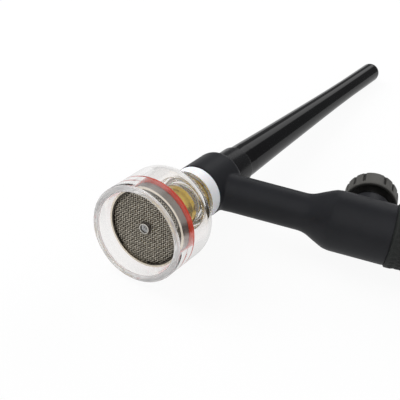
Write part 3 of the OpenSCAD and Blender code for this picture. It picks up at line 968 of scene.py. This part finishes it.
def weaveScreen(name, screen, spec):
    verts, faces = [], []
    turned = math.radians(screen["turned"])
    cosine, sine = math.cos(turned), math.sin(turned)
    count = int(spec["radius"] / spec["pitch"])
    for crosswise in (False, True):
        for j in range(-count, count + 1):
            offset = j * spec["pitch"]
            # neighbours wave against each other, and so do the two ways
            sign = 1 if (j % 2 == 0) != crosswise else -1
            for start, end in wireSpans(offset, screen["hole"], spec):
                rings = wireRings(start, end, offset, sign, spec)
                faces += bridgeRings(len(verts), len(rings), spec["sides"], False)
                for along, side, lift in (spot for ring in rings for spot in ring):
                    x, y = (side, along) if crosswise else (along, side)
                    verts.append((x * cosine - y * sine, x * sine + y * cosine, screen["station"] + lift))
    mesh = bpy.data.meshes.new(name)
    mesh.from_pydata([onHead @ Vector(spot) for spot in verts], [], faces)
    piece = addPiece(name, mesh, spec["smoothAngle"])
    paint(piece, finishes[screen["finish"]])
    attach(piece, "diffuser")
    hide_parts(screen["standsFor"])


weaveScreen("frontWeave", frontScreen, weave)
weaveScreen("rearWeave", rearScreen, weave)
print("screens woven")


# eyelet with a rolled lip

eyelet = {
    "outline": [
        (1.6, -39.3), (1.6, -41.0, 0.3), (1.85, -41.25, 0.2), (2.15, -40.4, 0.5), (2.4, -40.05, 0.2),
        (2.4, -39.8), (1.9, -39.8), (1.9, -39.3)],
    "filletSteps": 5,
    "turns": 96,
    "smoothAngle": 50.0,
}


def rollEyelet(spec):
    outline = roundCorners(spec["outline"], spec["filletSteps"])
    piece = lathe("rolledEyelet", outline, onHead, spec["turns"], spec["smoothAngle"])
    paint(piece, finishes["eyeletSteel"])
    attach(piece, "diffuser")
    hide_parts("mesh_eyelet")


rollEyelet(eyelet)
print("eyelet rolled")


# white guide that lines the eyelet

guide = {
    "outline": [(1.3, -36.5), (1.3, -38.6), (1.5, -40.2, 0.04), (1.58, -40.25, 0.03), (1.58, -36.5)],
    "filletSteps": 4,
    "turns": 64,
}


def fitGuide(spec):
    outline = roundCorners(spec["outline"], spec["filletSteps"])
    piece = lathe("electrodeGuide", outline, onHead, spec["turns"])
    paint(piece, finishes["whiteCeramic"])
    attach(piece, "diffuser")


fitGuide(guide)
print("guide fitted")


# floor, light and backdrop

studio = {
    # where the torch touches the floor
    "support": [(0, -26, -18.46), (0, 153, -4.52), (190, 69.2, -12.2)],
    "floorSize": 6.0,        # metres
    "paperColour": (0.93, 0.93, 0.93, 1),
    "white": (1.0, 1.0, 1.0, 1),
    "paperWhite": 0.93,      # share of plain white that the camera sees in the floor
    "paperMirrored": 0.8,    # share of the plain glow that reflections see in the floor
    "floorShine": 0.7,       # strength of that glow
    "glassShine": 0.95,      # the same for what has passed through glass
    "fillColour": (0.97, 0.98, 1.0, 1),
    "fillStrength": 0.42,    # light from all round
    "roomColour": (0.8, 0.8, 0.8, 1),            # what reflections see of the surroundings
    # patches: way, outer and inner half angles, level outside, level inside
    "darkPatch": ((0.0, 1.0, 0.0), 58.0, 46.0, 0.5, 0.22),
    "lightPatches": [
        ((-0.22, 0.81, 0.545), 16.0, 10.0, 0.0, 1.35),
        ((0.35, -0.5, 0.8), 45.0, 25.0, 0.0, 0.8)],
    "glassPatch": ((-0.3, 0.5, 0.8), 100.0, 60.0, 0.9, 1.0),
}

softboxes = {
    # place, aim, width, height, watts
    "keyBox": ((-0.6, -0.1, 0.62), (0.03, 0.02, 0), 0.6, 0.6, 5.6),
    "rimBox": ((0.1, 0.8, 0.5), (0.03, 0.03, 0), 0.8, 0.3, 3.6),
    "fillBox": ((0.65, -0.5, 0.5), (0.05, 0.0, 0), 0.5, 0.5, 0.8),
}


def raySorts(tree):
    # straight: what the camera sees, also through glass; shiny: what it sees by reflection;
    # passed: 1 for what came through glass on the way
    path = tree.nodes.new("ShaderNodeLightPath")
    mirrored = combine(tree, "MINIMUM", path.outputs["Glossy Depth"], 1.0)
    passed = combine(tree, "MINIMUM", path.outputs["Transmission Depth"], 1.0)
    through = combine(tree, "SUBTRACT", path.outputs["Is Transmission Ray"], mirrored)
    straight = combine(tree, "MAXIMUM", path.outputs["Is Camera Ray"], through)
    shiny = combine(tree, "MAXIMUM", path.outputs["Is Glossy Ray"], path.outputs["Is Transmission Ray"])
    return straight, shiny, passed


def lightSource(tree, kind, colour, strength):
    node = tree.nodes.new(kind)
    node.inputs["Color"].default_value = colour
    feed(tree, strength, node.inputs["Strength"])
    return node.outputs[0]


def mixShaders(tree, share, first, second):
    mix = tree.nodes.new("ShaderNodeMixShader")
    feed(tree, share, mix.inputs["Fac"])
    tree.links.new(first, mix.inputs[1])
    tree.links.new(second, mix.inputs[2])
    return mix.outputs["Shader"]


def palePaper(spec):
    material = bpy.data.materials.new("palePaper")
    material.use_nodes = True
    tree = material.node_tree
    tree.nodes.clear()
    out = tree.nodes.new("ShaderNodeOutputMaterial")
    paper = tree.nodes.new("ShaderNodeBsdfDiffuse")
    paper.inputs["Color"].default_value = spec["paperColour"]
    straight, shiny, passed = raySorts(tree)
    shine = blend(tree, passed, spec["floorShine"], spec["glassShine"])
    glow = lightSource(tree, "ShaderNodeEmission", spec["white"], 1.0)
    mirrorGlow = lightSource(tree, "ShaderNodeEmission", spec["white"], shine)
    mirrorShare = combine(tree, "MULTIPLY", shiny, spec["paperMirrored"])
    whiteShare = combine(tree, "MULTIPLY", straight, spec["paperWhite"])
    dull = mixShaders(tree, mirrorShare, paper.outputs["BSDF"], mirrorGlow)
    tree.links.new(mixShaders(tree, whiteShare, dull, glow), out.inputs["Surface"])
    return material


def layFloor(spec):
    a, b, c = (Vector(spot) * mm for spot in spec["support"])
    normal = (b - a).cross(c - a).normalized()
    if normal.z < 0:
        normal.negate()
    centre = (a + b + c) / 3
    side = Vector((1, 0, 0))
    side = (side - normal * side.dot(normal)).normalized()
    other = normal.cross(side)
    half = spec["floorSize"] / 2
    square = ((-1, -1), (1, -1), (1, 1), (-1, 1))
    corners = [centre + side * x * half + other * y * half for x, y in square]
    mesh = bpy.data.meshes.new("studioFloor")
    mesh.from_pydata(corners, [], [(0, 1, 2, 3)])
    floor = addObject("studioFloor", mesh)
    paint(floor, palePaper(spec))


def patch(tree, way, centre, outer, inner, low, high):
    # low outside the outer half angle, high inside the inner one
    facing = combineVectors(tree, "DOT_PRODUCT", way, Vector(centre).normalized())
    edges = [math.cos(math.radians(angle)) for angle in (outer, inner)]
    return spread(tree, facing, edges, (low, high), "SMOOTHSTEP")


def lightWorld(spec):
    # the camera sees white; reflections see a room with one dark and two light patches;
    # what has passed through glass sees a brighter room
    world = bpy.data.worlds.new("studioWorld")
    bpy.context.scene.world = world
    world.use_nodes = True
    tree = world.node_tree
    tree.nodes.clear()
    out = tree.nodes.new("ShaderNodeOutputWorld")
    way = tree.nodes.new("ShaderNodeTexCoord").outputs["Generated"]
    brightness = patch(tree, way, *spec["darkPatch"])
    for lightPatch in spec["lightPatches"]:
        brightness = combine(tree, "ADD", brightness, patch(tree, way, *lightPatch))
    straight, shiny, passed = raySorts(tree)
    level = blend(tree, passed, brightness, patch(tree, way, *spec["glassPatch"]))
    fill = lightSource(tree, "ShaderNodeBackground", spec["fillColour"], spec["fillStrength"])
    room = lightSource(tree, "ShaderNodeBackground", spec["roomColour"], level)
    white = lightSource(tree, "ShaderNodeBackground", spec["white"], 1.0)
    indirect = mixShaders(tree, shiny, fill, room)
    tree.links.new(mixShaders(tree, straight, indirect, white), out.inputs["Surface"])


def hangSoftboxes(boxes):
    for name, (place, aim, width, height, watts) in boxes.items():
        data = bpy.data.lights.new(name, "AREA")
        data.shape = "RECTANGLE"
        data.size = width
        data.size_y = height
        data.energy = watts
        lamp = addObject(name, data)
        way = Vector(aim) - Vector(place)
        turned = way.to_track_quat("-Z", "Y").to_matrix().to_4x4()
        lamp.matrix_world = Matrix.Translation(Vector(place)) @ turned
        lamp.visible_glossy = False
        lamp.visible_transmission = False


layFloor(studio)
lightWorld(studio)
hangSoftboxes(softboxes)
bpy.context.scene.view_settings.view_transform = "Standard"
bpy.context.scene.cycles.glossy_bounces = 16
bpy.context.scene.cycles.transmission_bounces = 24
bpy.context.scene.cycles.max_bounces = 28
print("studio lit")
